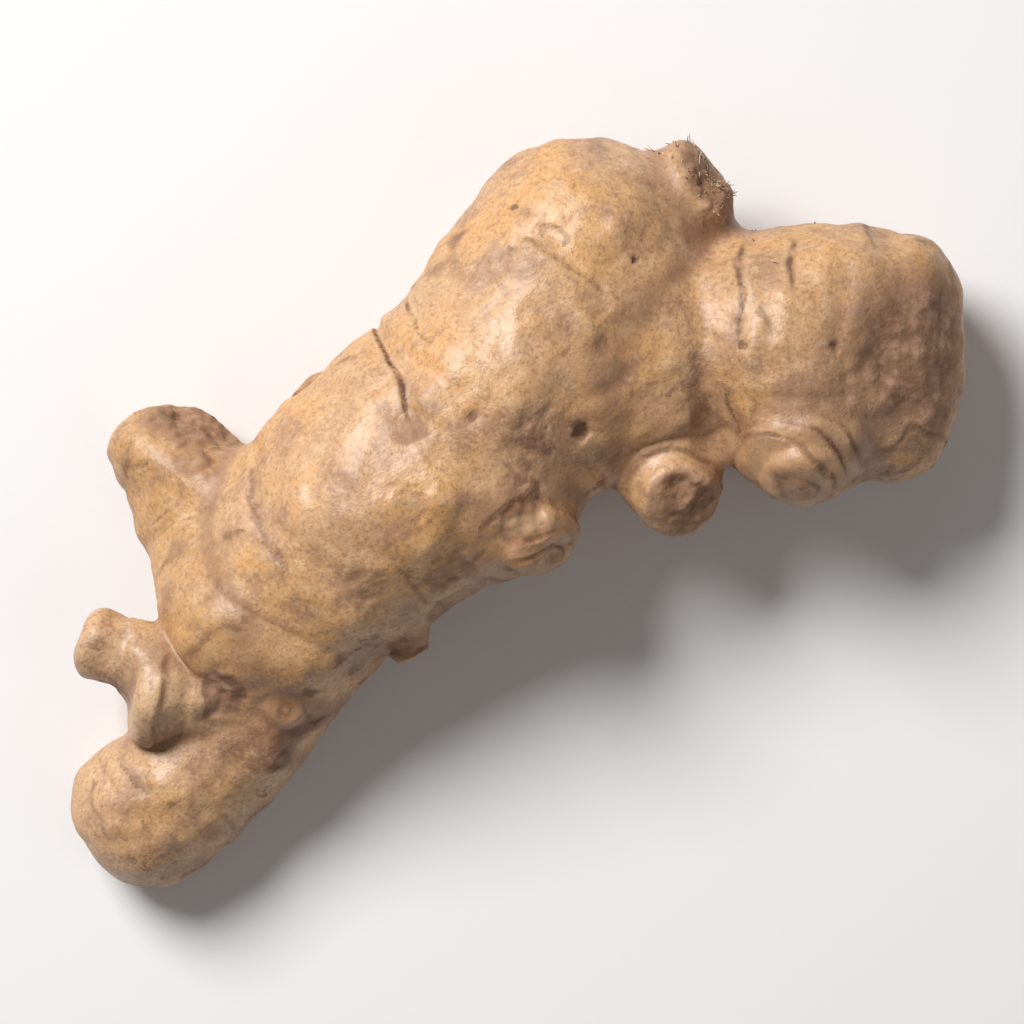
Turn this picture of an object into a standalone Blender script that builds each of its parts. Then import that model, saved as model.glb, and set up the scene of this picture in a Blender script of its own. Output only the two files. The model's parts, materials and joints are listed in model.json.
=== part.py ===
"""A mature ginger root, lying down, modelled as one solid.

A ginger rhizome grows as chains of short internodes. Each lobe below is such a chain: it
starts inside its parent's skin, and each internode turns, rises and thickens a little. The
lobes are joined by a voxel remesh, eased at their creases, and trimmed flat where they meet
the surface that the root lies on.

Metres, +Z up. The origin is on that surface, below the middle of the root's bounding box.
"""

import math
from collections import namedtuple

import bmesh
import bpy
from mathutils import Matrix, Vector, noise

MM = 0.001

# Driving sizes: the girth (a radius) and the mean internode length of each kind of lobe.
BODY_GIRTH = 13.4 * MM
BODY_INTERNODE = 9.6 * MM
LOBE_GIRTH = 12.6 * MM
LOBE_INTERNODE = 8.0 * MM
FINGER_GIRTH = 7.7 * MM
FINGER_INTERNODE = 7.0 * MM
ARM_GIRTH = 6.7 * MM
ARM_INTERNODE = 7.6 * MM
KNOB_GIRTH = 4.6 * MM
KNOB_INTERNODE = 6.0 * MM
NUB_GIRTH = 5.0 * MM
NUB_INTERNODE = 7.0 * MM
BUD_GIRTH = 2.4 * MM
BUD_INTERNODE = 3.4 * MM

RESTING = 0.82         # the body starts at this share of its girth above the surface
BODY_START = Vector((-21.2 * MM, -9.6 * MM, RESTING * BODY_GIRTH))

# How a lobe joins its parent and how its skin runs.
ROOTING = 0.6          # a lobe starts this share of its parent's girth out from the axis
PINCH = 0.045          # how much the skin draws in at a growth ring
PINCH_SHARPNESS = 6
LUMP_HEIGHT = 0.075    # as a share of the girth
LUMP_SIZE = 11 * MM
SAMPLES = 8            # cross-sections in each internode
CAP_SAMPLES = 7
TANGENT_STEP = 0.02    # the share of an internode over which its direction is read
SEGMENTS = 28          # corners in a cross-section

# How the lobes are made one skin.
VOXEL = 0.8 * MM
EASING = 0.5
EASING_STEPS = 5
KEPT_TRIANGLES = 0.17  # share of the remeshed skin's triangles that is kept
FLOOR_SIZE = 300 * MM
SKIN_COLOUR = (0.52, 0.34, 0.18, 1.0)
SKIN_ROUGHNESS = 0.6

# length and girth are shares of the lobe's own; turn and lift add degrees to its heading and rise.
Internode = namedtuple("Internode", "length turn lift girth")
# at counts internodes along the parent; reach is the length of the rounded end, and blunt squares it.
Lobe = namedtuple(
    "Lobe", "name parent at heading rise length girth internodes reach blunt"
)

LOBES = (
    Lobe("body", None, 0, 60, 14, BODY_INTERNODE, BODY_GIRTH, (
        Internode(0, 0, 0, 0.76),
        Internode(0.68, 0, 0, 0.94),
        Internode(1.05, -14, -8, 1.02),
        Internode(1.05, -21, -14, 1.02),
        Internode(1.0, -4, -14, 0.98),
        Internode(1.1, 1, -20, 0.88),
    ), 0.98, 0.9),
    Lobe("fore_lobe", "body", 3.7, 5, -3.6, LOBE_INTERNODE, LOBE_GIRTH, (
        Internode(0, 0, 0, 0.88),
        Internode(1.25, 0, 0, 0.82),
        Internode(0.72, -3, 0, 1.0),
        Internode(1.0, -8, 0, 1.06),
        Internode(0.75, -11, 0, 1.0),
    ), 0.5, 0.6),
    Lobe("left_arm", "body", 0, 190, 5, ARM_INTERNODE, ARM_GIRTH, (
        Internode(0, 0, 0, 1.2),
        Internode(1.45, -81, -30, 1.12),
        Internode(1.42, -71, -12, 0.94),
    ), 0.4, 0.5),
    Lobe("lower_finger", "body", 0, -112, -8, FINGER_INTERNODE, FINGER_GIRTH, (
        Internode(0.3, -4, -14, 0.92),
        Internode(1.1, -14, -8, 0.94),
        Internode(1.15, -26, -3, 1.04),
        Internode(0.4, -30, 0, 1.05),
    ), 0.95, 0.9),
    Lobe("low_knob", "lower_finger", 0.25, 178, 30, KNOB_INTERNODE, KNOB_GIRTH, (
        Internode(0, 0, 0, 1.06),
        Internode(1.25, 0, -20, 1.1),
    ), 0.4, 0.5),
    Lobe("side_knob", "low_knob", 0.85, 112, 0, KNOB_INTERNODE, KNOB_GIRTH, (
        Internode(0, 0, 0, 0.84),
        Internode(0.85, 48, -4, 0.8),
    ), 0.7, 0.8),
    Lobe("front_nub", "body", 2.5, -43, 30, NUB_INTERNODE, NUB_GIRTH, (
        Internode(0, 0, 0, 1.5),
        Internode(0.62, 0, 0, 1.28),
        Internode(0.45, 0, 0, 0.92),
    ), 0.6, 0.8),
    Lobe("hanging_nub", "fore_lobe", 0.45, -74, 10, NUB_INTERNODE, NUB_GIRTH, (
        Internode(0, 0, 0, 1.12),
        Internode(0.8, 0, 0, 1.06),
        Internode(0.75, -4, 38, 0.84),
    ), 0.45, 0.6),
    Lobe("end_bud", "fore_lobe", 2.6, -88, 33, NUB_INTERNODE, NUB_GIRTH, (
        Internode(0, 0, 0, 1.5),
        Internode(0.7, 0, 0, 1.3),
        Internode(0.36, 0, 0, 0.9),
    ), 0.5, 0.7),
    Lobe("stem_stub", "body", 4.5, 36, 4, NUB_INTERNODE, NUB_GIRTH, (
        Internode(0, 0, 0, 1.1),
        Internode(0.95, 0, 0, 0.98),
        Internode(0.6, 4, 6, 0.95),
    ), 0.3, 0.5),
    Lobe("neck_bud", "lower_finger", 0.1, -45, 66, BUD_INTERNODE, BUD_GIRTH, (
        Internode(0, 0, 0, 1.0),
        Internode(0.7, 0, 0, 0.9),
    ), 0.7, 0.8),
    Lobe("lower_bud", "body", 1.15, -58, -4, BUD_INTERNODE, BUD_GIRTH, (
        Internode(0, 0, 0, 1.3),
        Internode(1.4, 0, 0, 0.95),
    ), 0.7, 0.8),
    Lobe("under_bud", "body", 4.4, 110, -68, NUB_INTERNODE, NUB_GIRTH, (
        Internode(0, 0, 0, 1.3),
        Internode(0.75, 0, 0, 1.1),
    ), 0.6, 0.8),
    Lobe("back_bud", "body", 2.1, 140, -38, NUB_INTERNODE, NUB_GIRTH, (
        Internode(0, 0, 0, 1.2),
        Internode(0.75, 0, 0, 0.85),
    ), 0.7, 0.8),
)

Section = namedtuple("Section", "centre along radius")


def direction(heading, rise):
    """The unit vector at a heading from +X in the plan and a rise above it, both in degrees."""
    plan, up = math.radians(heading), math.radians(rise)
    return Vector((math.cos(plan) * math.cos(up), math.sin(plan) * math.cos(up), math.sin(up)))


def joints_of(lobe, grown):
    """The lobe's joints, each a point on its axis and the girth there."""
    if lobe.parent is None:
        point = BODY_START.copy()
    else:
        base, girth = place_on(grown[lobe.parent], lobe.at)
        point = base + direction(lobe.heading, lobe.rise) * (girth * ROOTING)
    joints = []
    for step in lobe.internodes:
        heading, rise = lobe.heading + step.turn, lobe.rise + step.lift
        point = point + direction(heading, rise) * (lobe.length * step.length)
        joints.append((point, lobe.girth * step.girth))
    return joints


def place_on(joints, at):
    """The point and the girth that lie so many internodes along a lobe."""
    first = min(int(at), len(joints) - 2)
    share = at - first
    (start, near), (end, far) = joints[first], joints[first + 1]
    return start.lerp(end, share), near + (far - near) * share


def curve_point(points, first, share):
    """A point on the smooth curve through the joints, share of the way from one to the next."""
    before = points[max(first - 1, 0)]
    start, end = points[first], points[first + 1]
    after = points[min(first + 2, len(points) - 1)]
    square, cube = share * share, share**3
    return 0.5 * (
        2 * start
        + (end - before) * share
        + (2 * before - 5 * start + 4 * end - after) * square
        + (3 * start - before - 3 * end + after) * cube
    )


def sections_of(lobe, joints):
    """The lobe's cross-sections, from the rounded start inside its parent to its rounded end."""
    points = [point for point, _ in joints]
    sections = []
    for first in range(len(joints) - 1):
        near, far = joints[first][1], joints[first + 1][1]
        for sample in range(SAMPLES):
            share = sample / SAMPLES
            eased = share * share * (3 - 2 * share)
            ring = abs(math.cos(math.pi * share)) ** PINCH_SHARPNESS  # 1 at a growth ring
            radius = (near + (far - near) * eased) * (1 - PINCH * ring)
            centre = curve_point(points, first, share)
            along = (curve_point(points, first, share + TANGENT_STEP) - centre).normalized()
            sections.append(Section(centre, along, radius))
    start = sections[0]
    opening = cap(start.centre, -start.along, start.radius, 1, 1)
    last = points[-1]
    along = (last - curve_point(points, len(joints) - 2, 1 - TANGENT_STEP)).normalized()
    closing = cap(last, along, joints[-1][1] * (1 - PINCH), lobe.reach, lobe.blunt)
    turned_back = [Section(s.centre, -s.along, s.radius) for s in reversed(opening[1:])]
    return turned_back + sections + closing


def cap(centre, along, radius, reach, blunt):
    """Sections that close a lobe with a rounded end; a smaller blunt squares it."""
    sections = []
    for sample in range(CAP_SAMPLES):
        angle = math.pi / 2 * sample / CAP_SAMPLES
        forward = along * (radius * reach * math.sin(angle))
        sections.append(Section(centre + forward, along, radius * math.cos(angle) ** blunt))
    tip = centre + along * (radius * reach)
    sections.append(Section(tip, along, 0))
    return sections


def lumpy(centre, outward, radius):
    """A point on the skin, pushed in or out by broad lumps."""
    point = centre + outward * radius
    lump = noise.noise(point / LUMP_SIZE) * LUMP_HEIGHT
    return point + outward * (radius * lump)


def add_lobe(mesh, sections):
    """Skins the sections with quads, closed by a fan at either end."""
    side = sections[0].along.orthogonal().normalized()
    rings = []
    for section in sections:
        side = (side - section.along * side.dot(section.along)).normalized()
        if not section.radius:
            rings.append([mesh.verts.new(section.centre)])
            continue
        turn = Matrix.Rotation(2 * math.pi / SEGMENTS, 3, section.along)
        outward, ring = side.copy(), []
        for _ in range(SEGMENTS):
            ring.append(mesh.verts.new(lumpy(section.centre, outward, section.radius)))
            outward = turn @ outward
        rings.append(ring)
    for near, far in zip(rings, rings[1:]):
        for i in range(SEGMENTS):
            j = (i + 1) % SEGMENTS
            if len(near) == 1:
                mesh.faces.new((near[0], far[j], far[i]))
            elif len(far) == 1:
                mesh.faces.new((near[i], near[j], far[0]))
            else:
                mesh.faces.new((near[i], near[j], far[j], far[i]))


def grow_root():
    """The lobes as overlapping closed skins in one mesh object."""
    mesh, grown = bmesh.new(), {}
    for lobe in LOBES:
        joints = joints_of(lobe, grown)
        grown[lobe.name] = joints
        add_lobe(mesh, sections_of(lobe, joints))
    bmesh.ops.recalc_face_normals(mesh, faces=mesh.faces)
    data = bpy.data.meshes.new("ginger_root")
    mesh.to_mesh(data)
    mesh.free()
    root = bpy.data.objects.new("ginger_root", data)
    bpy.context.scene.collection.objects.link(root)
    return root


def floor_cutter():
    """A slab whose top is the surface that the root lies on."""
    mesh = bmesh.new()
    bmesh.ops.create_cube(mesh, size=1)
    data = bpy.data.meshes.new("floor_cutter")
    mesh.to_mesh(data)
    mesh.free()
    slab = bpy.data.objects.new("floor_cutter", data)
    slab.data.transform(Matrix.Diagonal((FLOOR_SIZE, FLOOR_SIZE, FLOOR_SIZE, 1)))
    slab.location.z = -FLOOR_SIZE / 2
    slab.hide_render = True
    slab.display_type = "WIRE"
    bpy.context.scene.collection.objects.link(slab)
    return slab


def join_lobes(root):
    """Makes the lobes one skin, eases the creases between them and thins the mesh."""
    remesh = root.modifiers.new("one skin", "REMESH")
    remesh.mode = "VOXEL"
    remesh.voxel_size = VOXEL
    remesh.use_smooth_shade = True
    smooth = root.modifiers.new("eased creases", "SMOOTH")
    smooth.factor = EASING
    smooth.iterations = EASING_STEPS
    thin = root.modifiers.new("fewer triangles", "DECIMATE")
    thin.ratio = KEPT_TRIANGLES
    flat = root.modifiers.new("flat where it rests", "BOOLEAN")
    flat.operation = "DIFFERENCE"
    flat.solver = "EXACT"
    flat.object = floor_cutter()


def skin_material():
    """Tan skin with a soft sheen."""
    material = bpy.data.materials.new("ginger_skin")
    material.use_nodes = True
    shader = material.node_tree.nodes["Principled BSDF"]
    shader.inputs["Base Color"].default_value = SKIN_COLOUR
    shader.inputs["Roughness"].default_value = SKIN_ROUGHNESS
    shader.inputs["Metallic"].default_value = 0.0
    return material


for old in list(bpy.data.objects):
    bpy.data.objects.remove(old)
ginger = grow_root()
join_lobes(ginger)
ginger.data.materials.append(skin_material())
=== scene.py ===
"""The looks of a mature ginger root that lies on a pale surface.

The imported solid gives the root's coarse skin. It is remeshed finely and drawn onto the smooth
shape of the lobes, which repeat the design's own table, and then gets its growth rings, scars,
bud scales, lumps and grain as real relief. Where these marks lie is stored on the skin, for the
material to read.
"""

import json
import math
from collections import namedtuple
from types import SimpleNamespace

import bmesh
import bpy
import numpy as np
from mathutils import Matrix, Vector, noise
from mathutils.bvhtree import BVHTree

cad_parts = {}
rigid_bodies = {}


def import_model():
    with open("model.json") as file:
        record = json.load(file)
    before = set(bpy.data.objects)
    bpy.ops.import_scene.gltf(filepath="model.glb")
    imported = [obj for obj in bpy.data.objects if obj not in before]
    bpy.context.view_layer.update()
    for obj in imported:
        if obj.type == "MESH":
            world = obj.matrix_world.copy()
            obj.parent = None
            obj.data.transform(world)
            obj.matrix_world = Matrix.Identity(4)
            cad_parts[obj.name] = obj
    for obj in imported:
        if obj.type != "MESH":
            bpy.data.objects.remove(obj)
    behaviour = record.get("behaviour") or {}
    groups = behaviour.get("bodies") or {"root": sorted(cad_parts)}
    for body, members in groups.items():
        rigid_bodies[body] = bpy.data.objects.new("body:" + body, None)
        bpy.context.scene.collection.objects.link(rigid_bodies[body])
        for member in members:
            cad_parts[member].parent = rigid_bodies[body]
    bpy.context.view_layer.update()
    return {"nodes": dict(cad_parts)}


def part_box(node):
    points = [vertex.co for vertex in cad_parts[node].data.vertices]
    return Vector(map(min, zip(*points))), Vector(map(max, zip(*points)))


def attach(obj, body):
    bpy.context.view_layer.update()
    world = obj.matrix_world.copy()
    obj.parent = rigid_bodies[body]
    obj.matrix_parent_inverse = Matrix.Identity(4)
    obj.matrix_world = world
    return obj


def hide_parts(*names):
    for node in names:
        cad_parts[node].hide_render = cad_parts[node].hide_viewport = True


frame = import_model()

MM = 0.001

# ---------------------------------------------------------------- the lobes, as the design has them

BODY_GIRTH = 13.4 * MM
RESTING = 0.82
BODY_START = Vector((-21.2 * MM, -9.6 * MM, RESTING * BODY_GIRTH))
ROOTING = 0.6
BODY = (9.6 * MM, BODY_GIRTH)      # mean internode length and girth of each kind of lobe
SIDE = (8.0 * MM, 12.6 * MM)
FINGER = (7.0 * MM, 7.7 * MM)
ARM = (7.6 * MM, 6.7 * MM)
KNOB = (6.0 * MM, 4.6 * MM)
NUB = (7.0 * MM, 5.0 * MM)
BUD = (3.4 * MM, 2.4 * MM)

# internodes: length, turn, lift and girth; lengths and girths are shares of the lobe's own.
# reach is how far the end bulges, in girths; square is 2 for a round end and more for a blunt one.
# meld is how widely the lobe runs into its parent.
Lobe = namedtuple("Lobe", "name parent at heading rise size internodes reach square meld end")

LOBES = (
    Lobe("body", None, 0, 60, 14, BODY, (
        (0, 0, 0, 0.76), (0.68, 0, 0, 0.94), (1.05, -14, -8, 1.02), (1.05, -21, -14, 1.02),
        (1.0, -4, -14, 0.98), (1.1, 1, -20, 0.88),
    ), 0.98, 2.1, 0, "round"),
    Lobe("fore_lobe", "body", 3.7, 5, -3.6, SIDE, (
        (0, 0, 0, 0.88), (1.25, 0, 0, 0.82), (0.72, -3, 0, 1.0), (1.0, -8, 0, 1.06), (0.75, -11, 0, 0.99),
    ), 0.62, 2.6, 4.5 * MM, "round"),
    Lobe("left_arm", "body", 0, 190, 5, ARM, (
        (0, 0, 0, 1.2), (1.45, -81, -30, 1.12), (1.42, -71, -12, 0.94),
    ), 0.55, 2.3, 6.0 * MM, "round"),
    Lobe("lower_finger", "body", 0, -112, -8, FINGER, (
        (0.3, -4, -14, 0.92), (1.1, -14, -8, 0.94), (1.15, -26, -3, 1.04), (0.4, -30, 0, 1.05),
    ), 0.95, 2.1, 2.2 * MM, "round"),
    Lobe("low_knob", "lower_finger", 0.25, 178, 30, KNOB, (
        (0, 0, 0, 1.02), (1.3, 0, -20, 1.1),
    ), 0.3, 4.0, 1.0 * MM, "round"),
    Lobe("side_knob", "low_knob", 0.85, 112, 0, KNOB, (
        (0, 0, 0, 0.9), (0.85, 48, -4, 0.84),
    ), 0.6, 2.5, 1.6 * MM, "round"),
    Lobe("front_nub", "body", 2.5, -43, 30, NUB, (
        (0, 0, 0, 1.5), (0.62, 0, 0, 1.24), (0.45, 0, 0, 0.84),
    ), 0.6, 2.1, 3.6 * MM, "bud"),
    Lobe("hanging_nub", "fore_lobe", 0.45, -74, 10, NUB, (
        (0, 0, 0, 1.12), (0.8, 0, 0, 1.06), (0.75, -4, 38, 0.84),
    ), 0.5, 2.4, 3.0 * MM, "round"),
    Lobe("end_bud", "fore_lobe", 2.6, -88, 33, NUB, (
        (0, 0, 0, 1.5), (0.7, 0, 0, 1.3), (0.36, 0, 0, 0.9),
    ), 0.5, 2.2, 3.2 * MM, "bud"),
    Lobe("stem_stub", "body", 4.5, 36, 4, NUB, (
        (0, 0, 0, 1.1), (0.95, 0, 0, 1.0), (0.6, 4, 6, 0.98),
    ), 0.4, 3.0, 2.6 * MM, "round"),
    Lobe("neck_bud", "lower_finger", 0.1, -45, 66, BUD, (
        (0, 0, 0, 1.0), (0.7, 0, 0, 0.9),
    ), 0.7, 2.3, 0.7 * MM, "bud"),
    Lobe("lower_bud", "body", 1.15, -58, -4, BUD, (
        (0, 0, 0, 1.3), (1.4, 0, 0, 0.95),
    ), 0.7, 2.3, 1.2 * MM, "bud"),
    Lobe("under_bud", "body", 4.4, 110, -68, NUB, (
        (0, 0, 0, 1.3), (0.75, 0, 0, 1.1),
    ), 0.6, 2.3, 1.5 * MM, "bud"),
    Lobe("back_bud", "body", 2.1, 140, -38, NUB, (
        (0, 0, 0, 1.2), (0.75, 0, 0, 0.85),
    ), 0.7, 2.3, 1.4 * MM, "bud"),
)

# A facet is where a lobe was broken or rubbed flat: it faces heading and rise, at reach from a joint.
# torn browns it, rough makes it craggy and warm turns it orange.
Facet = namedtuple("Facet", "joint heading rise reach edge torn rough warm")

FACETS = {
    "fore_lobe": Facet(3, -6, 55, 11.6 * MM, 4.6 * MM, 1.0, 0.35, 0),
    "left_arm": Facet(2, 66, 30, 2.6 * MM, 3.0 * MM, 0.8, 1.4, 0.2),
    "hanging_nub": Facet(2, -64, 58, 1.1 * MM, 1.4 * MM, 1.0, 1.2, 0.4),
    "stem_stub": Facet(2, 24, 30, 1.7 * MM, 1.6 * MM, 1.0, 2.6, 0.5),
}

# Young lobes are golden, at 1, and old dry ones pale, at -1.
HUES = {"left_arm": 0.9, "lower_finger": -0.2, "low_knob": -0.6, "side_knob": -0.6, "fore_lobe": 0.35}

# A growth ring crosses its lobe at so many internodes along it. lean tips it sideways, in degrees.
# It shows dark over an arc either side of the angle `about` (0 is up, 90 the lobe's left).
Ring = namedtuple("Ring", "lobe at lean about arc dark step")

RINGS = (
    Ring("body", 0.72, 17, 42, 34, 0.6, 1.2),
    Ring("body", 2.36, 14, 54, 40, 1.0, 2.2),
    Ring("body", 2.75, 36, 60, 16, 0.9, 0.5),
    Ring("body", 4.55, 8, 4, 20, 0.45, 0.7),
    Ring("body", 1.6, 8, -60, 40, 0.35, 0.8),
    Ring("body", 3.4, 6, -78, 30, 0.3, 0.6),
    Ring("fore_lobe", 1.58, 3, 38, 30, 1.0, 1.4),
    Ring("fore_lobe", 1.42, 0, -62, 34, 0.9, 1.2),
    Ring("fore_lobe", 2.35, 2, 42, 17, 0.85, 0.9),
    Ring("fore_lobe", 2.6, 3, -110, 50, 0.5, 0.6),
    Ring("left_arm", 0.9, 10, 30, 50, 0.3, 0.6),
    Ring("left_arm", 1.6, -6, 60, 40, 0.3, 0.7),
    Ring("lower_finger", 1.35, 12, 50, 44, 0.2, 0.8),
    Ring("lower_finger", 2.5, -10, -60, 30, 0.2, 0.6),
    Ring("low_knob", 0.5, 0, 0, 100, 0.3, 1.0),
    Ring("low_knob", 0.9, 2, 0, 180, 0.35, -1.6),
    Ring("side_knob", 0.45, -8, 0, 120, 0.3, 1.2),
    Ring("hanging_nub", 0.8, 6, 0, 100, 0.6, 1.0),
    Ring("hanging_nub", 1.5, -4, 30, 120, 0.7, 1.0),
    Ring("front_nub", 0.5, 5, 0, 150, 0.5, 1.0),
    Ring("front_nub", 1.25, -6, 20, 150, 0.6, 1.0),
    Ring("stem_stub", 1.0, 4, 0, 180, 0.7, 0.9),
    Ring("end_bud", 0.55, 0, 0, 180, 0.9, 1.2),
)

# A scar is a patch on a lobe. depth sinks it, rough makes it lumpy, and stain is how far it is browned.
Scar = namedtuple("Scar", "lobe at about radius depth rough stain")

SCARS = (
    Scar("fore_lobe", 2.95, 0, 1.1 * MM, 0.5 * MM, 0.3, 1.0),
    Scar("fore_lobe", 3.6, -14, 3.4 * MM, 0.3 * MM, 0.5, 0.5),
    Scar("body", 4.4, -17, 1.8 * MM, 0.1 * MM, 0.6, 0.4),
    Scar("body", 4.15, -30, 1.6 * MM, 0.1 * MM, 0.6, 0.5),
    Scar("body", 3.45, -42, 1.1 * MM, 0.6 * MM, 0.3, 0.9),
    Scar("body", 2.95, 2, 0.7 * MM, 0.3 * MM, 0, 0.8),
    Scar("body", 2.4, 14, 2.2 * MM, 0.15 * MM, 0.8, 0.5),
    Scar("body", 4.85, 42, 0.5 * MM, 0.35 * MM, 0, 1.0),
    Scar("body", 4.98, -26, 0.5 * MM, 0.35 * MM, 0, 1.0),
    Scar("body", 2.0, -12, 2.0 * MM, 0.1 * MM, 0.6, 0.35),
    Scar("body", 2.85, -36, 2.8 * MM, 0.1 * MM, 1.0, 0.5),
    Scar("body", 1.8, -46, 3.4 * MM, 0.1 * MM, 1.0, 0.45),
    Scar("body", 3.3, -20, 2.2 * MM, 0.1 * MM, 0.9, 0.4),
    Scar("body", 1.2, -24, 2.4 * MM, 0.1 * MM, 0.8, 0.35),
    Scar("fore_lobe", 1.7, -1, 0.6 * MM, 0.35 * MM, 0, 1.0),
    Scar("low_knob", 0.1, -12, 3.2 * MM, 0.15 * MM, 1.1, 0.75),
    Scar("lower_finger", 0.6, -30, 2.0 * MM, 0.2 * MM, 1.0, 0.8),
    Scar("lower_finger", 2.3, -20, 1.6 * MM, 0, 0.2, 0.35),
    Scar("lower_finger", 2.9, 32, 2.2 * MM, 0, 0.3, 0.4),
    Scar("left_arm", 1.5, -14, 2.6 * MM, 0, 0.3, 0.5),
    Scar("front_nub", 1.9, 0, 3.0 * MM, 0.2 * MM, 1.0, 0.85),
    Scar("body", 1.6, -78, 5.0 * MM, 0.15 * MM, 0.5, 0.45),
    Scar("body", 2.4, 176, 4.0 * MM, 0.3 * MM, 0.8, 0.7),
    Scar("fore_lobe", 2.6, -150, 3.4 * MM, 0.3 * MM, 0.8, 0.7),
    Scar("body", 4.0, 118, 2.2 * MM, 0.25 * MM, 0.6, 0.7),
)

# Dry fibres stand in tufts, strewn over a lobe from a place along it, in internodes, to its end.
# They keep between two angles round the lobe.
Tuft = namedtuple("Tuft", "lobe at first last count length")

TUFTS = (
    Tuft("stem_stub", 1.5, -140, 140, 110, 1.1 * MM),
    Tuft("left_arm", 1.9, -20, 100, 14, 0.5 * MM),
)

# ---------------------------------------------------------------- lobe coordinates

SPACING = 0.5 * MM       # between samples of a lobe's axis
PINCH = 0.03             # how much a lobe draws in at its joints
PINCH_SHARPNESS = 6
TINY = 1e-9

Axis = namedtuple("Axis", "lobe joints points along up side girth run at")
Place = namedtuple("Place", "run across angle past beyond outward girth at")


def direction(heading, rise):
    """The unit vector at a heading from +X in the plan and a rise above it, both in degrees."""
    plan, up = math.radians(heading), math.radians(rise)
    return Vector((math.cos(plan) * math.cos(up), math.sin(plan) * math.cos(up), math.sin(up)))


def joints_of(lobe, grown):
    """The lobe's joints, each a point on its axis and the girth there."""
    length, girth = lobe.size
    if lobe.parent is None:
        point = BODY_START.copy()
    else:
        parent = grown[lobe.parent]
        first = min(int(lobe.at), len(parent) - 2)
        (start, near), (end, far) = parent[first], parent[first + 1]
        share = lobe.at - first
        reach = (near + (far - near) * share) * ROOTING
        point = start.lerp(end, share) + direction(lobe.heading, lobe.rise) * reach
    joints = []
    for step, turn, lift, thick in lobe.internodes:
        point = point + direction(lobe.heading + turn, lobe.rise + lift) * (length * step)
        joints.append((point, girth * thick))
    return joints


def curve_point(points, first, share):
    """A point on the smooth curve through the joints, share of the way from one to the next."""
    before = points[max(first - 1, 0)]
    start, end = points[first], points[first + 1]
    after = points[min(first + 2, len(points) - 1)]
    square, cube = share * share, share**3
    return 0.5 * (
        2 * start
        + (end - before) * share
        + (2 * before - 5 * start + 4 * end - after) * square
        + (3 * start - before - 3 * end + after) * cube
    )


def axis_of(lobe, joints):
    """The lobe's axis as closely spaced samples, with its frame and girth at each."""
    points, girth, at = [], [], []
    centres = [point for point, _ in joints]
    for first in range(len(joints) - 1):
        near, far = joints[first][1], joints[first + 1][1]
        count = max(4, round((centres[first + 1] - centres[first]).length / SPACING))
        last = first == len(joints) - 2
        for sample in range(count + last):
            share = sample / count
            eased = share * share * (3 - 2 * share)
            joint = 0 if last and share > 0.5 else abs(math.cos(math.pi * share)) ** PINCH_SHARPNESS
            points.append(curve_point(centres, first, share))
            girth.append((near + (far - near) * eased) * (1 - PINCH * joint))
            at.append(first + share)
    points = np.array(points)
    along = unit(np.gradient(points, axis=0))
    side = unit(np.cross((0.0, 0.0, 1.0), along))
    up = np.cross(along, side)
    run = np.r_[0, np.cumsum(np.linalg.norm(np.diff(points, axis=0), axis=1))]
    return Axis(lobe, centres, points, along, up, side, np.array(girth), run, np.array(at))


def unit(vectors):
    return vectors / np.maximum(np.linalg.norm(vectors, axis=-1, keepdims=True), TINY)


def grow_axes():
    """Every lobe's axis by name, each lobe after its parent."""
    grown, axes = {}, {}
    for lobe in LOBES:
        grown[lobe.name] = joints_of(lobe, grown)
        axes[lobe.name] = axis_of(lobe, grown[lobe.name])
    return axes


def place_on(axis, points):
    """Where points lie along, around and beyond a lobe."""
    far = (axis.points**2).sum(1) - 2 * points @ axis.points.T
    near = far.argmin(1)
    centre, along = axis.points[near], axis.along[near]
    gap = points - centre
    forward = (gap * along).sum(1)
    last = len(axis.points) - 1
    past = np.where(near == last, np.maximum(forward, 0), 0) + np.where(near == 0, np.minimum(forward, 0), 0)
    run = axis.run[near] + forward - past
    outward = gap - along * forward[:, None]
    across = np.linalg.norm(outward, axis=1)
    angle = np.arctan2((outward * axis.side[near]).sum(1), (outward * axis.up[near]).sum(1))
    outward = outward / np.maximum(across, TINY)[:, None]
    girth = np.interp(run, axis.run, axis.girth)
    at = np.interp(run, axis.run, axis.at)
    return Place(run, across, angle, past, along, outward, girth, at)


def lobe_gap(axis, place):
    """The distance from a lobe's skin and the direction out of it."""
    lobe = axis.lobe
    reach = np.where(place.past > 0, lobe.reach, 1.0)
    power = np.where(place.past > 0, lobe.square, 2.0)
    ahead = np.abs(place.past) / reach
    size = np.maximum((ahead**power + place.across**power) ** (1 / power), TINY)
    pull_ahead = (ahead / size) ** (power - 1) / reach * np.sign(place.past)
    pull_out = (place.across / size) ** (power - 1)
    steep = np.sqrt(pull_ahead**2 + pull_out**2)
    outward = place.beyond * pull_ahead[:, None] + place.outward * pull_out[:, None]
    return (size - place.girth) / steep, outward / steep[:, None]


FACET_LUMPS = 3.8 * MM
FACET_UNEVEN = 0.25 * MM     # how high they stand on a facet whose rough is 0
FACET_ROUGH = 0.5 * MM       # and how much higher for each 1 of it


def cut_by_facet(axis, points, gap, outward):
    """The lobe's skin with its facet taken off, and how far each point belongs to the facet."""
    facet = FACETS.get(axis.lobe.name)
    if not facet:
        return gap, outward, np.zeros(len(points))
    normal = np.array(direction(facet.heading, facet.rise))
    centre = np.array(axis.joints[facet.joint]) + normal * facet.reach
    uneven = FACET_UNEVEN + facet.rough * FACET_ROUGH
    plane = (points - centre) @ normal + noise_at(points, FACET_LUMPS, 15) * uneven
    share = np.clip(0.5 + 0.5 * (plane - gap) / facet.edge, 0, 1)
    cut = gap * (1 - share) + plane * share + facet.edge * share * (1 - share)
    turned = outward * (1 - share[:, None]) + normal * share[:, None]
    return cut, turned, share


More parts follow.
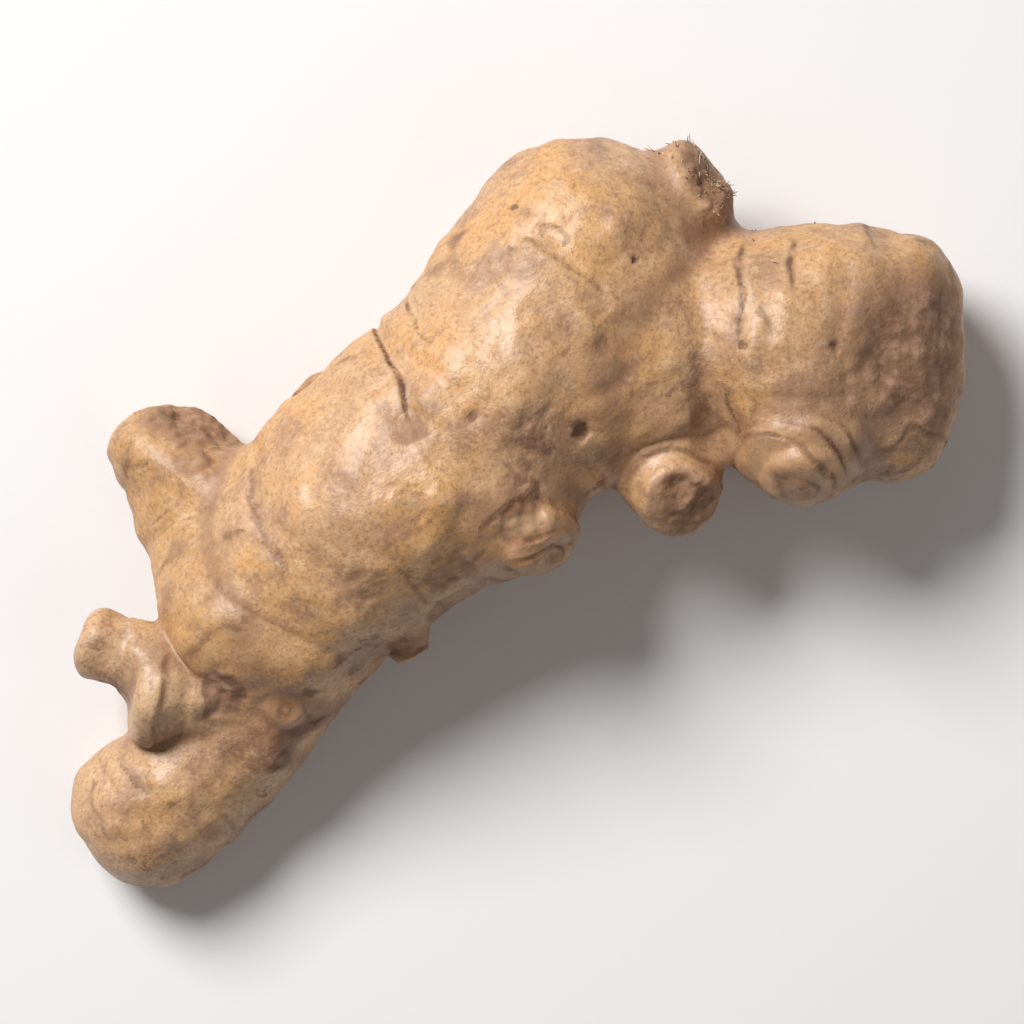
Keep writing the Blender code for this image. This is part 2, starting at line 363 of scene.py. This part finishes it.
# ---------------------------------------------------------------- relief on a lobe

def noise_at(points, size, seed=0):
    """Smooth noise from -1 to 1 whose lumps are about this size."""
    moved = points / size + np.array((seed * 7.31, seed * 3.17, seed * 5.93))
    return np.array([noise.noise(point) for point in moved])


def bump(gap, width):
    return np.exp(-((gap / width) ** 2))


def fade(value, start, end):
    share = np.clip((value - start) / (end - start), 0, 1)
    return share * share * (3 - 2 * share)


# Noise in layers: the size of its lumps, a seed, and their height.
Lumps = namedtuple("Lumps", "size seed height")

WOBBLE = (Lumps(5.5 * MM, 3, 1.3 * MM), Lumps(1.9 * MM, 4, 0.2 * MM))      # of rings, flakes and scales
CRAGS = (Lumps(0.8 * MM, 6, 0.3 * MM), Lumps(1.9 * MM, 7, 0.4 * MM))       # of a broken face
CRAG_DEPTH = 0.1 * MM
PATCH_SIZE = 4.2 * MM    # of the patches where marks show more or less
LUMP_SIZE = 11 * MM
LUMP_HEIGHT = 0.075      # as a share of the girth

# A growth ring is a groove along the edge of a collar, in a broad valley.
NO_RING = 9 * MM         # the distance to a ring where a lobe has none
VALLEY_WIDTH = 2.6 * MM
VALLEY_DEPTH = 0.42 * MM
COLLAR_WIDTH = 1.3 * MM
COLLAR_HEIGHT = 0.3 * MM
COLLAR_EDGE = (-0.2 * MM, 0.4 * MM)     # where it drops, about the ring
GROOVE_WIDTH = 0.42 * MM
GROOVE_DEPTH = 0.12 * MM
FAINTEST = 0.2           # the share of its relief that a ring keeps where it isn't dark
FRAY = 16                # degrees that the ends of its dark arc wander

# The outer skin flakes off in patches, and the flakes' edges show like faint rings.
FLAKED_PATCH = 8 * MM
FLAKE_SIZE = 6 * MM
FLAKE_STRETCH = (0.45, 0.45, 1.25)      # flakes are wider round the lobe than along it
FLAKE_SPREAD = 4.2 * MM                 # turns their noise into a distance from a flake's edge
FLAKE_RAG = (Lumps(2.6 * MM, 19, 0.9 * MM),)
FLAKE_SHIFT = 0.35 * MM                 # moves every edge, so that flakes are a little wider than gaps
FLAKE_EDGE = 0.7 * MM
FLAKE_HEIGHT = 0.22 * MM
FLAKE_DARK = 0.55
RING_LEAD = 1.2 * MM                    # a flake's edge must be this much nearer than a ring to show

# A bud has a small pit at its tip. Its scales rise from there outwards, each to a lip where it drops.
SCALE_STEP = 2.0 * MM                   # from lip to lip
SCALE_LEAN = 0.4                        # how far they slant sideways, as a slope
SCALE_HEIGHT = 0.5 * MM
SCALE_DEPTH = 0.1 * MM
SCALE_LINE = 1.9 * MM                   # turns the place between two lips into a distance from a lip
SCALED_FROM = 0.4                       # the lowest tip value whose scales are outlined
PIT_WIDTH = 0.9 * MM
PIT_DEPTH = 0.3 * MM

BLENDED = ("height", "scar", "tip", "hue")      # melt from lobe to lobe
OWNED = ("ring", "dark", "grain")               # belong to the nearest lobe
Relief = namedtuple("Relief", BLENDED + OWNED)


def lumpy(points, layers):
    return sum(noise_at(points, layer.size, layer.seed) * layer.height for layer in layers)


def rings_on(axis, angle, local, wobble, patchy):
    """The height of a lobe's growth rings, the distance to the nearest, and how dark that one is."""
    height, ring, dark = np.zeros(len(angle)), np.full(len(angle), NO_RING), np.zeros(len(angle))
    for mark in RINGS:
        if mark.lobe != axis.lobe.name:
            continue
        here = np.interp(mark.at, axis.at, axis.run)
        lean = math.tan(math.radians(mark.lean))
        gap = local[:, 2] - here - local[:, 1] * lean + wobble
        turned = np.abs((np.degrees(angle) - mark.about + 180) % 360 - 180)
        shown = 1 - fade(turned + patchy * FRAY, mark.arc * 0.6, mark.arc * 1.15)
        valley = bump(gap, VALLEY_WIDTH) * VALLEY_DEPTH
        collar = np.exp(np.minimum(gap, 0) / COLLAR_WIDTH) * (1 - fade(gap, *COLLAR_EDGE)) * COLLAR_HEIGHT
        groove = bump(gap, GROOVE_WIDTH) * GROOVE_DEPTH * shown
        height += (collar - groove - valley) * mark.step * (FAINTEST + (1 - FAINTEST) * shown)
        closer = np.abs(gap) < ring
        ring = np.where(closer, np.abs(gap), ring)
        dark = np.where(closer, mark.dark * shown + 0.1 * (patchy > 0.1), dark)
    return height, ring, dark


def flakes_on(points, local, wobble):
    """The signed distance from the edges of the flaking skin, and how much of it flakes here."""
    stretched = local * np.array(FLAKE_STRETCH) + wobble[:, None] * 0.8
    edge = noise_at(stretched, FLAKE_SIZE, 17) * FLAKE_SPREAD + lumpy(points, FLAKE_RAG) + FLAKE_SHIFT
    return edge, fade(noise_at(points, FLAKED_PATCH, 18), 0.0, 0.3)


def scales_on(axis, place, local, wobble, patchy):
    """The height of a bud's scales, how far each point belongs to its tip, and how near a lip is."""
    end_girth = axis.girth[-1]
    from_tip = np.where(place.past > 0, place.across, end_girth + axis.run[-1] - place.run)
    tip = 1 - fade(from_tip, end_girth, end_girth * 2.1)
    ragged = (from_tip + wobble + local[:, 1] * SCALE_LEAN) / SCALE_STEP
    share = ragged - np.floor(ragged)
    overlap = share**2 * (1 - fade(share, 0.82, 1.0))
    strength = np.clip(0.7 + patchy, 0.2, 1.2)
    height = tip * (overlap * strength * SCALE_HEIGHT - SCALE_DEPTH) - bump(from_tip, PIT_WIDTH) * PIT_DEPTH
    return height, tip, np.minimum(1 - share, share) * SCALE_LINE


def relief_on(axis, place, points, broken):
    """The relief of a lobe's skin at points, and what its material needs to know."""
    lobe = axis.lobe
    along = place.run + place.past
    local = np.stack((place.across * np.cos(place.angle), place.across * np.sin(place.angle), along), axis=1)
    wobble = lumpy(points, WOBBLE)
    patchy = noise_at(points, PATCH_SIZE, 5)
    height, ring, dark = rings_on(axis, place.angle, local, wobble, patchy)
    height += noise_at(points, LUMP_SIZE) * LUMP_HEIGHT * place.girth
    edge, flaked = flakes_on(points, local, wobble)
    height += fade(edge, -FLAKE_EDGE, FLAKE_EDGE) * flaked * FLAKE_HEIGHT
    closer = np.abs(edge) < ring - RING_LEAD
    ring = np.where(closer, np.abs(edge), ring)
    dark = np.where(closer, flaked * FLAKE_DARK, dark)
    tip = np.zeros(len(points))
    if lobe.end == "bud":
        scales, tip, lip = scales_on(axis, place, local, wobble, patchy)
        height += scales
        ring = np.where(tip > SCALED_FROM, lip, ring)
        dark = np.where(tip > SCALED_FROM, np.clip(0.6 + patchy, 0, 1), dark)
    facet = FACETS.get(lobe.name, Facet(0, 0, 0, 0, 0, 0, 0, 0))
    height += broken * facet.rough * (lumpy(points, CRAGS) - CRAG_DEPTH)
    hue = np.full(len(points), HUES.get(lobe.name, 0.0))
    return Relief(height, broken * facet.torn, np.maximum(tip, broken * facet.warm), hue, ring, dark, local)


def scar_centre(axis, mark):
    """The point on the skin where a scar sits."""
    row = np.abs(axis.at - mark.at).argmin()
    turn = math.radians(mark.about)
    outward = axis.up[row] * math.cos(turn) + axis.side[row] * math.sin(turn)
    return axis.points[row] + outward * axis.girth[row]


# ---------------------------------------------------------------- the whole skin

Skin = namedtuple("Skin", "gap outward crease relief")

FAR = 1.0                # metres, further than any lobe
LOOKUP_MARGIN = 6 * MM   # how far beyond its own girth a lobe is looked up
CREASE_WIDTH = 1.6 * MM
VOXEL = 0.33 * MM
DRAWING_ROUNDS = 3       # of drawing the corners to the skin and then relaxing them
DRAWING_STEPS = 4
RELAXING_STEPS = 2
LONGEST_MOVE = 0.8 * MM  # of a point drawn to the skin, in one step
RELAXING = 0.6           # how far a step takes a point towards the middle of its neighbours
SOFT_REST = 0.2 * MM     # how softly the skin meets the surface that it lies on
SKIN_LUMPS = (Lumps(6.5 * MM, 11, 0.5 * MM), Lumps(3.4 * MM, 12, 0.26 * MM), Lumps(1.8 * MM, 13, 0.15 * MM))
SCAR_LUMPS = (Lumps(1.1 * MM, 9, 0.24 * MM), Lumps(0.55 * MM, 10, 0.128 * MM))
SCAR_RIM = 0.06 * MM
SOIL_AND_SHADE_SIDE = (0.5, -0.75, -0.45)            # the side that is browned as soil and darkened as painted shade, turned down and away from the key lamp
SOIL_AND_SHADE_PATCH = 9 * MM
GRAIN = (Lumps(0.95 * MM, 14, 0.03 * MM),)
GRAIN_STRETCH = (1.0, 1.0, 7.0)         # the grain runs along the lobe


def skin_at(axes, points, with_relief):
    """The smooth union of the lobes at points, lobe after lobe."""
    count = len(points)
    gap = np.full(count, FAR)
    outward = np.zeros((count, 3))
    crease = np.zeros(count)
    relief = Relief(*(np.zeros(count) for _ in BLENDED + OWNED[:-1]), np.zeros((count, 3)))
    for axis in axes.values():
        margin = axis.girth.max() + LOOKUP_MARGIN
        low, high = axis.points.min(0) - margin, axis.points.max(0) + margin
        near = ((points > low) & (points < high)).all(1)
        if not near.any():
            continue
        place = place_on(axis, points[near])
        new_gap, new_outward = lobe_gap(axis, place)
        new_gap, new_outward, broken = cut_by_facet(axis, points[near], new_gap, new_outward)
        old_gap = gap[near]
        if axis.lobe.parent is None:
            share = np.zeros(near.sum())
        else:
            share = np.clip(0.5 + 0.5 * (new_gap - old_gap) / axis.lobe.meld, 0, 1)
            crease[near] = np.maximum(crease[near] * share, bump(new_gap - old_gap, CREASE_WIDTH))
        gap[near] = new_gap * (1 - share) + old_gap * share - axis.lobe.meld * share * (1 - share)
        outward[near] = unit(new_outward * (1 - share[:, None]) + outward[near] * share[:, None])
        if with_relief:
            new = relief_on(axis, place, points[near], broken)
            own = np.flatnonzero(near)[share < 0.5]
            for name in BLENDED:
                field = getattr(relief, name)
                field[near] = getattr(new, name) * (1 - share) + field[near] * share
            for name in OWNED:
                getattr(relief, name)[own] = getattr(new, name)[share < 0.5]
    return Skin(gap, outward, crease, relief)


def even_copy(node, voxel):
    """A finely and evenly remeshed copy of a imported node."""
    piece = bpy.data.objects.new("root_skin", node.data.copy())
    bpy.context.scene.collection.objects.link(piece)
    even = piece.modifiers.new("even mesh", "REMESH")
    even.mode = "VOXEL"
    even.voxel_size = voxel
    graph = bpy.context.evaluated_depsgraph_get()
    mesh = bpy.data.meshes.new_from_object(piece.evaluated_get(graph))
    piece.modifiers.clear()
    piece.data = mesh
    return piece


def corners_of(mesh):
    flat = np.empty(len(mesh.vertices) * 3, dtype=np.float32)
    mesh.vertices.foreach_get("co", flat)
    return flat.reshape(-1, 3).astype(float)


def set_corners(mesh, points):
    mesh.vertices.foreach_set("co", points.astype(np.float32).ravel())
    mesh.update()


def edges_of(mesh):
    pairs = np.empty(len(mesh.edges) * 2, dtype=np.int32)
    mesh.edges.foreach_get("vertices", pairs)
    return pairs.reshape(-1, 2)


def relaxed(points, pairs, steps):
    """Points drawn towards the middle of their neighbours."""
    degree = np.bincount(pairs.ravel(), minlength=len(points))[:, None]
    for _ in range(steps):
        total = np.zeros_like(points)
        for row in range(3):
            total[:, row] = np.bincount(pairs[:, 0], points[pairs[:, 1], row], len(points))
            total[:, row] += np.bincount(pairs[:, 1], points[pairs[:, 0], row], len(points))
        points = points * (1 - RELAXING) + total / degree * RELAXING
    return points


def drawn_to_skin(axes, points, steps):
    """Points moved onto the smooth union of the lobes."""
    for _ in range(steps):
        skin = skin_at(axes, points, False)
        move = np.clip(skin.gap, -LONGEST_MOVE, LONGEST_MOVE)
        points = points - skin.outward * move[:, None]
    return points


def rested(points):
    """Points eased up to the surface that the root lies on."""
    height = points[:, 2]
    points[:, 2] = 0.5 * (height + np.sqrt(height**2 + SOFT_REST**2))
    return points


def store(mesh, name, values):
    """Keeps one value, or one vector, for each corner of the skin."""
    kind, field = ("FLOAT", "value") if values.ndim == 1 else ("FLOAT_VECTOR", "vector")
    layer = mesh.attributes.new(name, kind, "POINT")
    layer.data.foreach_set(field, values.astype(np.float32).ravel())


def scars_on(axes, points):
    """The height of the scars, and how far they brown the skin."""
    height, stain = np.zeros(len(points)), np.zeros(len(points))
    lumps = lumpy(points, SCAR_LUMPS)
    for number, mark in enumerate(SCARS):
        ragged = 1 + noise_at(points, mark.radius * 0.55, 20 + number) * 0.35
        away = np.linalg.norm(points - scar_centre(axes[mark.lobe], mark), axis=1) / (mark.radius * ragged)
        inside = 1 - fade(away, 0.6, 1.1)
        height += inside * (lumps * mark.rough - mark.depth)
        height += bump(away - 1.05, 0.2) * SCAR_RIM * mark.rough
        stain = np.maximum(stain, inside * mark.stain)
    return height, stain


def smooth_skin(axes, mesh):
    """The mesh's corners, drawn to the lobes' smooth shape and spread evenly over it."""
    points, pairs = corners_of(mesh), edges_of(mesh)
    for _ in range(DRAWING_ROUNDS):
        points = drawn_to_skin(axes, points, DRAWING_STEPS)
        points = relaxed(points, pairs, RELAXING_STEPS)
    return drawn_to_skin(axes, points, DRAWING_STEPS)


def make_root(axes):
    """The root's skin, with its relief and the fields that its material reads."""
    piece = even_copy(frame["nodes"]["ginger_root"], VOXEL)
    mesh = piece.data
    points = smooth_skin(axes, mesh)
    skin = skin_at(axes, points, True)
    relief = skin.relief
    scars, stain = scars_on(axes, points)
    grain = lumpy(relief.grain / np.array(GRAIN_STRETCH), GRAIN) * (1 - skin.crease)
    height = relief.height + scars + lumpy(points, SKIN_LUMPS) + grain
    # Soil browning and painted shade: darker on the side turned down and away from the key lamp, in patches.
    dirt = skin.outward @ np.array(SOIL_AND_SHADE_SIDE) * 0.6 + noise_at(points, SOIL_AND_SHADE_PATCH, 16) * 0.8
    set_corners(mesh, rested(points + skin.outward * height[:, None]))
    for name, values in (
        ("ring", relief.ring / MM), ("dark", relief.dark), ("scar", np.maximum(relief.scar, stain)),
        ("tip", relief.tip), ("crease", skin.crease), ("dirt", fade(dirt, -0.35, 0.6)),
        ("hue", relief.hue), ("grain", relief.grain / MM),
    ):
        store(mesh, name, values)
    mesh.shade_smooth()
    mesh.materials.clear()
    mesh.materials.append(skin_material())
    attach(piece, "root")
    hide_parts("ginger_root")
    return piece


# ---------------------------------------------------------------- dry fibres

FIBRE_RADIUS = 0.08 * MM
FIBRE_SIDES = 5
FIBRE_RINGS = 6
FIBRE_ROOT = 0.3 * MM    # how deep it stands in the skin
FIBRE_TAPER = 0.6
FIBRE_CURL = 0.22


def fibre_rings(base, heading, length, curl):
    """The rings of a thin fibre that tapers and curls as it leaves its base."""
    point, rings = base - heading * FIBRE_ROOT, []
    for number in range(FIBRE_RINGS):
        share = number / (FIBRE_RINGS - 1)
        side = heading.cross(curl).normalized()
        other = heading.cross(side)
        radius = FIBRE_RADIUS * (1 - FIBRE_TAPER * share)
        turns = [2 * math.pi * step / FIBRE_SIDES for step in range(FIBRE_SIDES)]
        rings.append([point + (side * math.cos(turn) + other * math.sin(turn)) * radius for turn in turns])
        heading = (heading + curl * FIBRE_CURL).normalized()
        point = point + heading * (length / (FIBRE_RINGS - 1))
    return rings


def add_tube(mesh, rings):
    """Adds a closed tube through rings of points."""
    corners = [[mesh.verts.new(point) for point in ring] for ring in rings]
    for near, far in zip(corners, corners[1:]):
        for step in range(FIBRE_SIDES):
            after = (step + 1) % FIBRE_SIDES
            mesh.faces.new((near[step], near[after], far[after], far[step]))
    mesh.faces.new(corners[0][::-1])
    mesh.faces.new(corners[-1])


def make_fibres(root, axes):
    """The dry fibres, rooted in the skin."""
    skin = BVHTree.FromPolygons(
        [corner.co for corner in root.data.vertices], [face.vertices for face in root.data.polygons]
    )
    rng = np.random.default_rng(11)
    shape = bmesh.new()
    for tuft in TUFTS:
        axis = axes[tuft.lobe]
        for _ in range(tuft.count):
            turn = math.radians(rng.uniform(tuft.first, tuft.last))
            row = np.abs(axis.at - rng.uniform(tuft.at, axis.at[-1])).argmin()
            outward = axis.up[row] * math.cos(turn) + axis.side[row] * math.sin(turn)
            heading = Vector(outward + axis.along[row] * rng.uniform(0, 2)).normalized()
            start = Vector(axis.points[row]) + heading * axis.girth[row] * 3
            base = skin.ray_cast(start, -heading)[0]
            heading += Vector(rng.normal(0, 0.35, 3))
            curl = Vector(rng.normal(0, 1, 3))
            length = tuft.length * rng.uniform(0.4, 1.2)
            add_tube(shape, fibre_rings(base, heading.normalized(), length, curl.normalized()))
    bmesh.ops.recalc_face_normals(shape, faces=shape.faces)
    mesh = bpy.data.meshes.new("dry_fibres")
    shape.to_mesh(mesh)
    shape.free()
    mesh.shade_smooth()
    mesh.materials.append(fibre_material())
    piece = bpy.data.objects.new("dry_fibres", mesh)
    bpy.context.scene.collection.objects.link(piece)
    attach(piece, "root")


# ---------------------------------------------------------------- material

TAN = (0.55, 0.315, 0.155, 1)
GOLD = (0.61, 0.32, 0.115, 1)
DUSK = (0.33, 0.172, 0.095, 1)
PALE = (0.68, 0.475, 0.28, 1)
AMBER = (0.55, 0.29, 0.10, 1)
# Soil brown, also used for painted shade in the creases and on the side away from the key lamp.
SOIL_AND_SHADE = (0.25, 0.122, 0.066, 1)
STRAW = (0.70, 0.55, 0.38, 1)
UMBER = (0.12, 0.048, 0.018, 1)
BARK = (0.26, 0.12, 0.048, 1)
CORK = (0.20, 0.10, 0.052, 1)
ASH = (0.37, 0.21, 0.13, 1)
EMBER = (0.38, 0.19, 0.08, 1)


class Graph:
    """Short names for the shader nodes used here. Values may be numbers, colours or sockets."""

    def __init__(self, tree):
        self.tree = tree

    def node(self, kind, **settings):
        made = self.tree.nodes.new(kind)
        for name, value in settings.items():
            setattr(made, name, value)
        return made

    def feed(self, socket, value):
        if isinstance(value, bpy.types.NodeSocket):
            self.tree.links.new(value, socket)
        else:
            socket.default_value = value

    def field(self, name):
        return self.node("ShaderNodeAttribute", attribute_name=name)

    def math(self, operation, first, second=0.0, third=0.0, clamp=False):
        made = self.node("ShaderNodeMath", operation=operation, use_clamp=clamp)
        for socket, value in zip(made.inputs, (first, second, third)):
            self.feed(socket, value)
        return made.outputs[0]

    def total(self, *parts):
        """The sum of values, each times its weight."""
        made = 0.0
        for value, weight in parts:
            made = self.math("MULTIPLY_ADD", value, weight, made)
        return made

    def product(self, first, second, third):
        return self.math("MULTIPLY", self.math("MULTIPLY", first, second), third, clamp=True)

    def noise(self, vector, size, detail=2.0, roughness=0.5):
        """Noise whose lumps are about size millimetres, when vector is in millimetres."""
        made = self.node("ShaderNodeTexNoise")
        for name, value in (
            ("Vector", vector), ("Scale", 1 / size), ("Detail", detail), ("Roughness", roughness),
        ):
            self.feed(made.inputs[name], value)
        return made.outputs["Fac"]

    def scaled(self, vector, scale):
        made = self.node("ShaderNodeVectorMath", operation="MULTIPLY")
        self.feed(made.inputs[0], vector)
        self.feed(made.inputs[1], scale)
        return made.outputs[0]

    def band(self, value, start, end):
        """0 at start and 1 at end, eased."""
        made = self.node("ShaderNodeMapRange", interpolation_type="SMOOTHSTEP")
        for name, number in (("Value", value), ("From Min", start), ("From Max", end)):
            self.feed(made.inputs[name], number)
        return made.outputs["Result"]

    def millimetres(self):
        """The place on the object, in millimetres."""
        return self.scaled(self.node("ShaderNodeTexCoord").outputs["Object"], (1000, 1000, 1000))

    def mix(self, share, first, second):
        made = self.node("ShaderNodeMix", data_type="RGBA")
        for socket, value in zip((made.inputs[0], made.inputs[6], made.inputs[7]), (share, first, second)):
            self.feed(socket, value)
        return made.outputs[2]

    def tint(self, colour, share, strength, towards):
        """The colour, drawn towards another by a share of a strength."""
        return self.mix(self.math("MULTIPLY", share, strength), colour, towards)


def skin_layers(g):
    """The fields stored on the skin, and noise from broad patches down to grit."""
    place = g.millimetres()
    names = ("ring", "dark", "scar", "tip", "crease", "dirt", "hue")
    return SimpleNamespace(
        place=place,
        broad=g.noise(place, 13, 2),
        patch=g.noise(place, 5.5, 4, 0.6),
        mottle=g.noise(place, 1.7, 4, 0.65),
        speckle=g.noise(place, 0.5, 2, 0.6),
        fibre=g.noise(g.scaled(g.field("grain").outputs["Vector"], (1, 1, 0.12)), 0.55, 4, 0.6),
        grit=g.noise(place, 0.28, 1),
        **{name: g.field(name).outputs["Fac"] for name in names},
    )


def skin_marks(g, skin):
    """Torn skin, scabs, and a ring's dark line, with a brown stain beside it that is partly painted shade of
    the ring's ledge, and its pale lip, which is partly a painted highlight.
    """
    torn = g.band(g.math("ADD", skin.scar, g.math("MULTIPLY_ADD", skin.mottle, 0.8, -0.4)), 0.2, 0.65)
    scabby = g.band(g.noise(skin.place, 2.8, 5, 0.7), 0.55, 0.61)
    warped = g.math("ADD", skin.ring, g.math("MULTIPLY_ADD", g.noise(skin.place, 0.9, 2), 0.4, -0.2))
    near = g.math("MAXIMUM", warped, 0.0)
    broken = g.band(g.noise(skin.place, 2.2, 3), 0.34, 0.56)
    beside = g.math("ABSOLUTE", g.math("SUBTRACT", warped, 0.7))
    return SimpleNamespace(
        torn=torn,
        scabs=g.math("MULTIPLY", scabby, g.band(skin.dirt, 0.1, 0.7)),
        line=g.product(g.band(near, 0.4, 0.05), skin.dark, broken),
        # The stain is brown skin beside the ring and partly painted shade of its ledge; the lip is a pale
        # papery edge and partly a painted highlight.
        stain=g.product(g.band(near, 1.3, 0.1), skin.dark, g.band(skin.patch, 0.35, 0.6)),
        lip=g.math("MULTIPLY", g.band(beside, 0.4, 0.05), skin.dark),
    )


def skin_colour(g, skin, marks):
    """The skin's colour: hue and patches, then soil browning with painted shade on the side away from the
    key lamp, speckles, tears, buds, painted shade in the creases, and rings with a stain and lip that are
    partly painted shade and highlight.
    """
    # Patches where the soil browning and painted shade of the lower side show.
    soil_and_shade_patches = g.band(g.math("MULTIPLY_ADD", skin.mottle, 0.5, skin.patch), 0.55, 0.95)
    rough_brown = g.mix(g.band(skin.mottle, 0.4, 0.66), CORK, ASH)
    bud_brown = g.math("MULTIPLY", skin.tip, g.math("MULTIPLY_ADD", skin.mottle, 0.8, 0.1))
    # Painted shade: the skin is darkened towards soil brown in the creases between lobes, in patches.
    crease_shade = g.band(g.math("ADD", skin.crease, g.math("MULTIPLY", skin.patch, 1.2)), 0.8, 1.7)
    colour = g.mix(g.band(skin.broad, 0.42, 0.62), TAN, GOLD)
    for share, strength, towards in (
        (g.band(skin.hue, 0, 1), 0.7, AMBER),
        (g.band(skin.hue, 0, -1), 0.6, PALE),
        (g.band(skin.patch, 0.5, 0.64), 0.65, DUSK),
        # soil brown and painted shade on the side away from the key lamp and underneath
        (g.math("MULTIPLY", skin.dirt, soil_and_shade_patches), 0.92, SOIL_AND_SHADE),
        (g.band(skin.mottle, 0.52, 0.72), 0.5, PALE),
        (g.band(skin.mottle, 0.48, 0.3), 0.5, DUSK),
        (g.band(skin.fibre, 0.52, 0.7), 0.15, DUSK),
        (g.band(skin.speckle, 0.52, 0.68), 0.5, SOIL_AND_SHADE),
        (g.band(skin.speckle, 0.46, 0.3), 0.4, PALE),
        (g.band(skin.grit, 0.58, 0.7), 0.35, SOIL_AND_SHADE),
        (marks.torn, 0.92, rough_brown),
        (marks.scabs, 0.7, rough_brown),
        (bud_brown, 1.0, EMBER),
        # painted shade in the creases
        (crease_shade, 0.55, SOIL_AND_SHADE),
        # brown stain beside a ring, partly painted shade of its ledge, then its pale lip, partly a painted
        # highlight
        (marks.stain, 0.45, BARK),
        (marks.lip, 0.25, PALE),
        (marks.line, 0.95, UMBER),
    ):
        colour = g.tint(colour, share, strength, towards)
    return colour


def skin_roughness(g, skin, marks):
    """Glossy skin, duller where it is torn or scabbed and along the rings."""
    smooth = g.math("MULTIPLY_ADD", skin.patch, 0.3, 0.36)
    dull = g.total((g.math("MAXIMUM", marks.torn, marks.scabs), 0.35), (marks.line, 0.2))
    return g.math("ADD", smooth, dull, clamp=True)


def skin_bump(g, skin, marks):
    """The skin's normals, with relief too fine for the mesh."""
    torn_lumps = g.math("MULTIPLY", marks.torn, g.noise(skin.place, 0.7, 4))
    made = g.node("ShaderNodeBump")
    made.inputs["Strength"].default_value = 0.4
    made.inputs["Distance"].default_value = 0.2 * MM
    g.feed(made.inputs["Height"], g.total(
        (skin.fibre, 0.2), (skin.mottle, 0.8), (skin.speckle, 0.6), (skin.grit, 0.25),
        (marks.scabs, 0.5), (torn_lumps, 1.2), (marks.line, -0.8),
    ))
    return made.outputs["Normal"]


def skin_material():
    material = bpy.data.materials.new("ginger_skin_fine")
    material.use_nodes = True
    shader = material.node_tree.nodes["Principled BSDF"]
    g = Graph(material.node_tree)
    skin = skin_layers(g)
    marks = skin_marks(g, skin)
    g.feed(shader.inputs["Base Color"], skin_colour(g, skin, marks))
    g.feed(shader.inputs["Roughness"], skin_roughness(g, skin, marks))
    g.feed(shader.inputs["Normal"], skin_bump(g, skin, marks))
    shader.inputs["Specular IOR Level"].default_value = 0.95
    return material


def fibre_material():
    material = bpy.data.materials.new("dry_fibre")
    material.use_nodes = True
    shader = material.node_tree.nodes["Principled BSDF"]
    g = Graph(material.node_tree)
    g.feed(shader.inputs["Base Color"], g.mix(g.band(g.noise(g.millimetres(), 0.8), 0.4, 0.6), BARK, STRAW))
    shader.inputs["Roughness"].default_value = 0.6
    return material


# ---------------------------------------------------------------- stage

FLOOR_REACH = 2.0            # from the middle to each edge
FLOOR_COLOUR = (0.80, 0.80, 0.82, 1)
LAMP_AIM = (0, 0, 0.01)
CAMERA_DISTANCE = 0.6
CAMERA_ROOM = 1.16           # the frame's width as a share of the root's longer side
CAMERA_LEVEL = 0.6           # where the frame is that wide, as a share of the root's height


def plain_material(name, colour, roughness):
    material = bpy.data.materials.new(name)
    material.use_nodes = True
    shader = material.node_tree.nodes["Principled BSDF"]
    shader.inputs["Base Color"].default_value = colour
    shader.inputs["Roughness"].default_value = roughness
    return material


def make_floor():
    mesh = bpy.data.meshes.new("floor")
    corners = [(x * FLOOR_REACH, y * FLOOR_REACH, 0) for x, y in ((-1, -1), (1, -1), (1, 1), (-1, 1))]
    mesh.from_pydata(corners, [], [(0, 1, 2, 3)])
    floor = bpy.data.objects.new("floor", mesh)
    bpy.context.scene.collection.objects.link(floor)
    mesh.materials.append(plain_material("pale_floor", FLOOR_COLOUR, 0.7))


def make_lamp(name, place, size, power, tint):
    """A round lamp that points at the root."""
    data = bpy.data.lights.new(name, "AREA")
    data.shape = "DISK"
    data.size = size
    data.energy = power
    data.color = tint
    lamp = bpy.data.objects.new(name, data)
    lamp.location = place
    lamp.rotation_euler = (Vector(LAMP_AIM) - Vector(place)).to_track_quat("-Z", "Y").to_euler()
    bpy.context.scene.collection.objects.link(lamp)


def make_light():
    make_lamp("key", (-0.40, 0.44, 0.62), 0.42, 9.6, (1.0, 0.98, 0.95))
    make_lamp("fill", (0.6, -0.35, 0.8), 0.9, 1.4, (1.0, 0.93, 0.86))
    world = bpy.data.worlds.new("studio")
    world.use_nodes = True
    background = world.node_tree.nodes["Background"]
    background.inputs["Color"].default_value = (1.0, 0.97, 0.94, 1)
    background.inputs["Strength"].default_value = 0.14
    bpy.context.scene.world = world


def make_camera():
    """Looks straight down on the side that the photograph shows, with the root filling the frame."""
    low, high = (Vector(corner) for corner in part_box("ginger_root"))
    middle, span = (low + high) / 2, high - low
    camera = bpy.data.cameras.new("camera")
    camera.sensor_width = 36
    camera.lens = camera.sensor_width * CAMERA_DISTANCE / (max(span.x, span.y) * CAMERA_ROOM)
    made = bpy.data.objects.new("camera", camera)
    made.location = (middle.x, middle.y, high.z * CAMERA_LEVEL + CAMERA_DISTANCE)
    bpy.context.scene.collection.objects.link(made)
    bpy.context.scene.camera = made


bpy.context.scene.view_settings.view_transform = "Standard"
make_camera()
make_floor()
make_light()
lobe_axes = grow_axes()
make_fibres(make_root(lobe_axes), lobe_axes)

bpy.context.view_layer.update()
